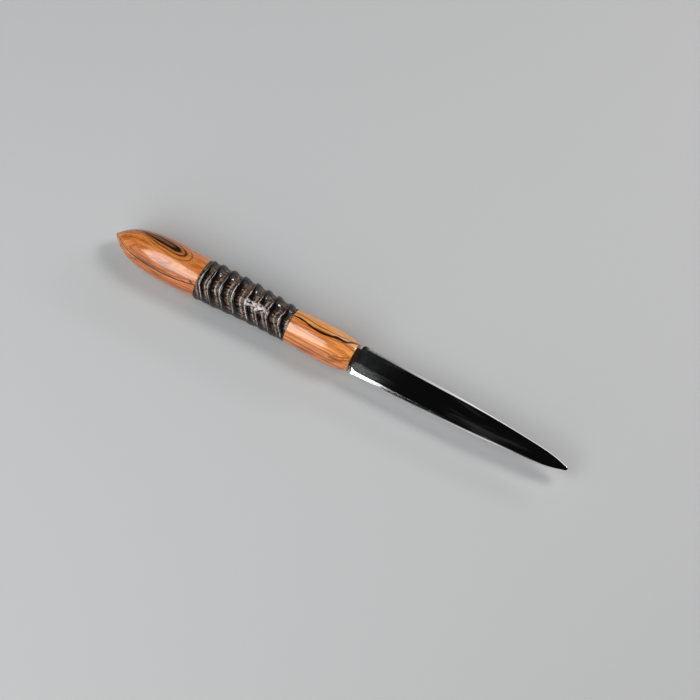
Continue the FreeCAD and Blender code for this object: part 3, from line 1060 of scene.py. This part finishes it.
@dataclass
class Blade:
    """The double-bevelled blade with its neck and tang.

    Stations are millimetres ahead of the nose face, and each outline gives half
    the blade: along its edge, or round its flat.
    """

    half_thickness: float = 1.5
    edge_half: float = 0.8
    neck_half: float = 5.1
    edge_line: tuple[Point, ...] = ((0.5, 5.1), (2.2, 8.05), (56.0, 7.05), (104.0, 4.05))
    flat_line: tuple[Point, ...] = ((1.2, 5.1), (3.2, 6.15), (56.0, 5.85), (104.0, 3.4))
    edge_tip: Point = (0.5, 0.95)
    flat_tip: Point = (0.35, 0.65)
    flat_tip_start: float = 1.2
    neck_step: Point = (0.9, 1.4)
    neck_drop: float = 0.16
    tip_drop: float = 0.35
    tip_drop_start: float = 80.0
    bevel_crown: float = 0.035
    bevel_rows: tuple[float, ...] = (0.12, 0.37, 0.63, 0.88, 1.0)
    flat_insets: Point = (0.2, 20.0)
    arris: float = 0.07
    arris_angle: float = math.radians(12)
    tang_half: Point = (3.2, 1.15)
    tang_length: float = 20.0

    def __post_init__(self) -> None:
        """Read the blade's tip and the nose face's station from the frame."""
        self.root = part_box("front_grip")[1].x
        self.length = (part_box("blade")[1].x - self.root) / MM

    def outline(self, line: Sequence[Point], tip: Point, end: float) -> list[Vector]:
        """Half an outline from the nose face to the tip.

        Args:
            line: the corners at the neck, the shoulder, the belly and the point.
            tip: how far back the tip's rounding starts, and the half width there.
            end: the tip's station.

        Returns:
            The points, each a station and a half width.
        """
        neck, shoulder, belly, point = (Vector(corner) for corner in line)
        start, rounding = Vector((0.0, self.neck_half)), Vector((end - tip[0], tip[1]))
        points = [start, *straight(start, neck, 2), *straight(neck, shoulder, 5)]
        points += straight(shoulder, belly, 24)
        slope = belly - shoulder
        curve, heading = arc(belly, point, math.atan2(slope.y, slope.x), 30)
        point_arc, heading = arc(point, rounding, heading, 14)
        away = Vector((end, 0.0)) - rounding
        nose, _ = arc(rounding, Vector((end, 0.0)), 2 * math.atan2(away.y, away.x) + math.pi / 2, 10)
        return [*points, *curve, *point_arc, *nose]

    def level(self, station: float) -> float:
        """The height of the flat above the blade's middle: it steps up from the neck."""
        neck = self.neck_drop * smooth(self.neck_step[1], self.neck_step[0], station)
        return self.half_thickness - neck - self.tip_drop * smooth(self.tip_drop_start, self.length, station)

    def at(self, station: float, half: float, height: float) -> Vector:
        """The place with this station, half width and height, all in millimetres."""
        return Vector((self.root + station * MM, half * MM, AXIS_HEIGHT + height * MM))

    def build(self, steel: MirrorSteel) -> bpy.types.Object:
        """Grind the blade and dress it.

        Args:
            steel: its finish.

        Returns:
            The finished piece.
        """
        mesh = bmesh.new()
        tag = mesh.verts.layers.int.new("arris")
        edge = self.outline(self.edge_line, self.edge_tip, self.length)
        flat = self.outline(self.flat_line, self.flat_tip, self.length - self.flat_tip_start)
        rim = chain(mesh, edge, lambda spot: self.at(spot.x, spot.y, self.edge_half))
        pull(mesh, rim, lambda vert: Vector((vert.co.x, vert.co.y, AXIS_HEIGHT)))
        rim = self.grind_bevel(mesh, rim, edge, flat)
        for vert in {vert for side in rim for vert in side.verts}:
            vert[tag] = 1
        self.fill_flat(mesh, rim, flat)
        for vert in mesh.verts:
            if abs(vert.co.z - AXIS_HEIGHT - self.edge_half * MM) < 1e-8:
                vert[tag] = 2
        self.mirror_quarter(mesh)
        self.add_tang(mesh)
        bmesh.ops.recalc_face_normals(mesh, faces=mesh.faces)
        sharp = []
        for side in mesh.edges:
            kinds = {vert[tag] for vert in side.verts}
            if len(kinds) == 1 and kinds != {0} and side.is_manifold:
                if side.calc_face_angle(0.0) > self.arris_angle:
                    sharp.append(side)
        round_edges(mesh, sharp, self.arris * MM, 3)
        return piece("ground_blade", mesh, steel.make(), "blade")

    def grind_bevel(
        self, mesh: BMesh, rim: list[BMEdge], edge: Sequence[Vector], flat: Sequence[Vector]
    ) -> list[BMEdge]:
        """Raise the slightly crowned bevel from the edge to the flat's border.

        Args:
            mesh: the mesh.
            rim: the edges along the blade's edge, in order.
            edge: the outline there.
            flat: the flat's outline.

        Returns:
            The edges along the flat's border, in order.
        """
        for share in self.bevel_rows:
            swell = 4 * self.bevel_crown * share * (1 - share)
            rise = [self.edge_half + (self.level(far.x) - self.edge_half) * share for far in flat]
            spots = iter([
                self.at(*near.lerp(far, share), height)
                + Vector((0.0, swell * MM, swell * MM)) * (1 if near.y > 0 else 0)
                for near, far, height in zip(edge, flat, rise)
            ])
            rim = self.pull_in_order(mesh, rim, spots)
        return rim

    def fill_flat(self, mesh: BMesh, rim: list[BMEdge], flat: Sequence[Vector]) -> None:
        """Fill the flat: a row just inside its border keeps its shading level, then the middle."""
        for inset in self.flat_insets:
            spots = iter([
                self.at(far.x, max(far.y - inset, 0.6 * far.y if inset < 1 else 0.0), self.level(far.x))
                for far in flat
            ])
            rim = self.pull_in_order(mesh, rim, spots)

    @staticmethod
    def mirror_quarter(mesh: BMesh) -> None:
        """Mirror a quarter of the blade to its other side and its other face."""
        bmesh.ops.remove_doubles(mesh, verts=mesh.verts, dist=WELD)
        middle = Matrix.Translation((0, 0, -AXIS_HEIGHT))
        for axis in ("Y", "Z"):
            quarter = [*mesh.verts, *mesh.edges, *mesh.faces]
            bmesh.ops.mirror(mesh, geom=quarter, matrix=middle, merge_dist=WELD, axis=axis)
        bmesh.ops.remove_doubles(mesh, verts=mesh.verts, dist=WELD)

    @staticmethod
    def pull_in_order(mesh: BMesh, edges: Sequence[BMEdge], spots: Any) -> list[BMEdge]:
        """Extrude an open chain of edges onto a row of places.

        Args:
            mesh: the mesh.
            edges: the chain's edges, in order along the blade.
            spots: the new places, in the same order.

        Returns:
            The new edges, in order.
        """
        first = edges[0].verts[0] if edges[0].verts[0] not in edges[1].verts else edges[0].verts[1]
        row = [first]
        for edge in edges:
            row.append(edge.other_vert(row[-1]))
        where = {tuple(vert.co): spot for vert, spot in zip(row, spots)}
        made = bmesh.ops.extrude_edge_only(mesh, edges=list(edges))["geom"]
        fresh = [item for item in made if isinstance(item, BMVert)]
        kept = {}
        for vert in fresh:
            old = tuple(vert.co)
            vert.co = where[old]
            kept[old] = vert
        line = [kept[tuple(vert.co)] for vert in row]
        return [mesh.edges.get(pair) for pair in zip(line, line[1:])]

    def add_tang(self, mesh: BMesh) -> None:
        """Close the neck's end and draw the tang out of it."""
        across, up = (half * MM for half in self.tang_half)

        def to_tang(vert: BMVert) -> Vector:
            """The place on the tang's border beside a vertex of the neck's end."""
            aside, rise = vert.co.y, vert.co.z - AXIS_HEIGHT
            wide = math.copysign(across, aside) if abs(aside) > across else aside
            tall = math.copysign(up, rise) if abs(rise) > up else rise
            return Vector((vert.co.x, wide, AXIS_HEIGHT + tall))

        mouth = pull(mesh, loose_loop(mesh, self.root), to_tang)
        back = Vector((self.tang_length * MM, 0.0, 0.0))
        end = pull(mesh, mouth, lambda vert: vert.co - back)
        bmesh.ops.contextual_create(mesh, geom=end)


# ---------------------------------------------------------------------- studio


@dataclass(frozen=True)
class Lamp:
    """A soft light: where it hangs, its size in metres, its power in watts and what it faces.

    shows says whether polished surfaces mirror it, and oval gives it that outline.
    """

    name: str
    place: tuple[float, float, float]
    size: Point
    power: float
    aim: tuple[float, float, float] = (0.0, 0.0, 0.01)
    tint: Colour = (1.0, 1.0, 1.0)
    shows: bool = True
    oval: bool = False

    def hang(self) -> None:
        """Add the light to the scene."""
        data = bpy.data.lights.new(self.name, "AREA")
        data.shape = "ELLIPSE" if self.oval else "RECTANGLE"
        data.size, data.size_y = self.size
        data.energy = self.power
        data.color = self.tint
        made = bpy.data.objects.new(self.name, data)
        way = Vector(self.aim) - Vector(self.place)
        made.rotation_euler = way.to_track_quat("-Z", "Y").to_euler()
        made.location = self.place
        made.visible_glossy = self.shows
        bpy.context.scene.collection.objects.link(made)


@dataclass
class Studio:
    """The camera, the pale floor, the dark room and its lamps."""

    azimuth: float = 28.8
    elevation: float = 72.0
    distance: float = 1.089
    lens: float = 113.1
    aim: tuple[float, float, float] = (NOSE - 0.00355, 0.0025, AXIS_HEIGHT + 0.0007)
    floor_size: float = 6.0
    floor_colour: Colour = (0.42, 0.42, 0.425)

    def build(self) -> None:
        """Set up the whole studio."""
        self.add_camera()
        self.add_floor()
        self.light_room()
        for lamp in self.lamps():
            lamp.hang()
        bpy.context.scene.view_settings.view_transform = "Standard"

    def add_camera(self) -> None:
        """Place the camera and make it the scene's."""
        turn, rise = math.radians(self.azimuth), math.radians(self.elevation)
        back = Vector((math.sin(turn) * math.cos(rise), -math.cos(turn) * math.cos(rise), math.sin(rise)))
        data = bpy.data.cameras.new("camera")
        data.lens = self.lens
        data.clip_start = 0.01
        made = bpy.data.objects.new("camera", data)
        made.location = Vector(self.aim) + back * self.distance
        made.rotation_euler = (-back).to_track_quat("-Z", "Y").to_euler()
        bpy.context.scene.collection.objects.link(made)
        bpy.context.scene.camera = made

    def add_floor(self) -> None:
        """Lay the plain pale floor under the opener."""
        mesh = bmesh.new()
        bmesh.ops.create_grid(mesh, x_segments=1, y_segments=1, size=self.floor_size / 2)
        data = bpy.data.meshes.new("floor")
        mesh.to_mesh(data)
        mesh.free()
        paper = Material("floor_cloth")
        data.materials.append(paper.finish(base_color=self.floor_colour, roughness=0.9))
        made = bpy.data.objects.new("floor", data)
        bpy.context.scene.collection.objects.link(made)

    def light_room(self) -> None:
        """Make the room dark, with a pale far side, a pale wall at the near left and a faint horizon."""
        world = bpy.data.worlds.new("room")
        world.use_nodes = True
        bpy.context.scene.world = world
        room = Tree(world.node_tree)
        right, far, up = room.parts(room.make("ShaderNodeTexCoord", {}, {}).outputs["Generated"])
        back = up.ease(0.6, 0.5) * far.ease(0.1, 0.6) * right.ease(-0.16, -0.06) + up.ease(0.1, 0.02) * 0.3
        wall = (far * -0.325 - right - 0.255).ease(-0.04, 0.06) * far.ease(-0.1, -0.45) * up.ease(0.75, 0.5)
        glow = (wall * 0.7).most(back)
        stops = [(0.0, (0.003,) * 3), (0.15, (0.13,) * 3), (1.0, (0.95,) * 3)]
        light = room.make("ShaderNodeBackground", {}, {0: room.ramp(glow, stops), 1: 1.0})
        room.make("ShaderNodeOutputWorld", {}, {0: light.outputs[0]})

    @staticmethod
    def lamps() -> list[Lamp]:
        """The softbox, the key and fill, which only cast light, and the two bare lamps.

        Returns:
            The lamps, to be hung.
        """
        return [
            Lamp("overhead_softbox", (-0.38, -0.41, 0.80), (0.54, 1.0), 7.2,
                 aim=(-0.38, 0.0, 0.011), tint=(0.92, 0.975, 0.98), oval=True),
            Lamp("key_softbox", (0.52, 0.5, 0.87), (0.35, 0.35), 7.0, shows=False, tint=(1.0, 0.97, 0.96)),
            Lamp("fill_panel", (-0.05, -0.95, 0.42), (0.9, 0.9), 5.5, shows=False, tint=(1.0, 0.97, 0.95)),
            Lamp("left_lamp", (0.42, 0.75, 0.40), (0.08, 0.08), 0.8),
            Lamp("right_lamp", (0.72, 0.75, 0.40), (0.08, 0.08), 0.8),
        ]


# ------------------------------------------------------------------------ main

POMMEL_EYE = Figure(
    station=24.2, turn=-33.0, half=11.2, width=1.9, slant=-0.12, reach=8.0,
    rings=(
        (0.0, (0.2, 0.085, 0.028)), (0.8, (0.14, 0.055, 0.018)), (1.2, (0.02, 0.007, 0.004)),
        (1.95, (0.016, 0.006, 0.004)), (2.3, (0.34, 0.11, 0.026)), (2.8, (0.46, 0.155, 0.035)),
        (3.15, (0.07, 0.02, 0.006)), (3.5, (0.1, 0.03, 0.008)), (3.8, (0.5, 0.17, 0.04)),
        (4.7, (0.56, 0.2, 0.048)), (5.05, (0.2, 0.058, 0.014)), (5.5, (0.56, 0.2, 0.05)),
        (8.0, (0.58, 0.2, 0.05)),
    ),
)
POMMEL_WOOD = OliveWood(
    "olive_wood_pommel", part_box("pommel")[0].x / MM, 50.3, 10.3, 62.0, 5.5, 2.0, figure=POMMEL_EYE,
    veins=(
        Vein(((0.0, 20.0), (0.1, 42.0), (0.25, 52.0), (0.5, 55.0), (0.75, 53.0), (1.0, 42.0)), 0.75,
             (0.05, 0.015, 0.006), 1.0),
        Vein(((0.0, 5.0), (0.1, 32.0), (0.25, 43.0), (0.5, 48.0), (0.75, 47.0), (0.92, 36.0)), 0.55,
             (0.16, 0.048, 0.014), 0.8),
        Vein(((0.05, 55.0), (0.3, 66.0), (0.6, 67.0), (1.0, 63.0)), 0.5, (0.16, 0.048, 0.014), 0.9),
        Vein(((0.2, 74.0), (0.4, 77.0), (0.7, 77.0), (1.0, 72.0)), 0.6, (0.14, 0.042, 0.012), 0.9),
        Vein(((0.885, 8.0), (0.925, 26.0), (0.95, 38.0)), 1.1, (0.5, 0.14, 0.025), 0.9),
        Vein(((0.925, 38.0), (0.97, 40.0)), 1.2, (0.05, 0.015, 0.005), 1.0),
    ),
)
FRONT_WOOD = OliveWood(
    "olive_wood_front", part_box("front_grip")[0].x / MM, 35.4, 9.1, 80.0, 4.5, 31.0, pale_turn=-14.0,
    pale=(0.8, 0.34, 0.1), warm=(0.66, 0.22, 0.052),
    veins=(
        Vein(((0.0, -18.0), (0.17, -17.0), (0.29, -10.0), (0.41, -7.0), (0.6, -11.0), (0.73, -18.0),
              (0.8, -18.0), (0.9, -33.0), (1.0, -56.0)), 0.7, (0.012, 0.005, 0.003), grows=1.6),
        Vein(((0.0, -36.0), (0.2, -31.0), (0.4, -25.0), (0.65, -27.0), (1.0, -52.0)), 0.65,
             (0.2, 0.066, 0.017), 0.9),
        Vein(((0.15, 4.0), (0.4, 2.0), (0.7, -6.0), (1.0, -20.0)), 0.5, (0.3, 0.09, 0.02), 0.8),
        Vein(((0.0, 60.0), (0.4, 60.0), (0.8, 62.0)), 0.8, (0.2, 0.06, 0.017), 0.85),
        Vein(((0.75, 40.0), (0.85, 36.0), (0.97, 22.0)), 0.9, (0.24, 0.066, 0.015), 0.85),
        Vein(((0.7, 52.0), (0.85, 46.0), (1.0, 34.0)), 0.8, (0.2, 0.055, 0.013), 0.85),
    ),
)
GLUE = PlainFinish("glue_in_slot", (0.22, 0.13, 0.06), (0.14, 0.08, 0.035), 0.3, along=0.5, across=0.5)
GLUE_FILM = PlainFinish("rear_glue_line", (0.02, 0.013, 0.01), (0.012, 0.009, 0.008), 0.3)
INNER_FINISHES = {
    "connecting_rod": PlainFinish("rod_steel", (0.5, 0.5, 0.51), (0.32, 0.32, 0.33), 0.4, 1.0, 3.0, 3.0),
    "horn_core": PlainFinish("plug_wood", (0.45, 0.27, 0.13), (0.28, 0.15, 0.065), 0.6),
    "tang_bond": GLUE,
    "rod_bond_front": replace(GLUE, name="glue_in_front"),
    "rod_bond_pommel": replace(GLUE, name="glue_in_pommel"),
    "glue_line_rear": GLUE_FILM,
    "glue_line_front": replace(GLUE_FILM, name="front_glue_line"),
}


def dress_inner_pieces() -> None:
    """Give the CAD nodes that stay their finishes."""
    for node, finish in INNER_FINISHES.items():
        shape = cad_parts[node]
        shape.data.materials.clear()
        shape.data.materials.append(finish.make())
        log.info("%s: %s", node, finish.name)


def main() -> None:
    """Build the studio and every piece in order."""
    logging.basicConfig(level=logging.INFO, format="%(message)s")
    Studio().build()
    Pommel().build(POMMEL_WOOD)
    HornSleeve().build(LacqueredHorn())
    FrontGrip().build(FRONT_WOOD)
    Blade().build(MirrorSteel())
    dress_inner_pieces()


if __name__ == "__main__":
    main()
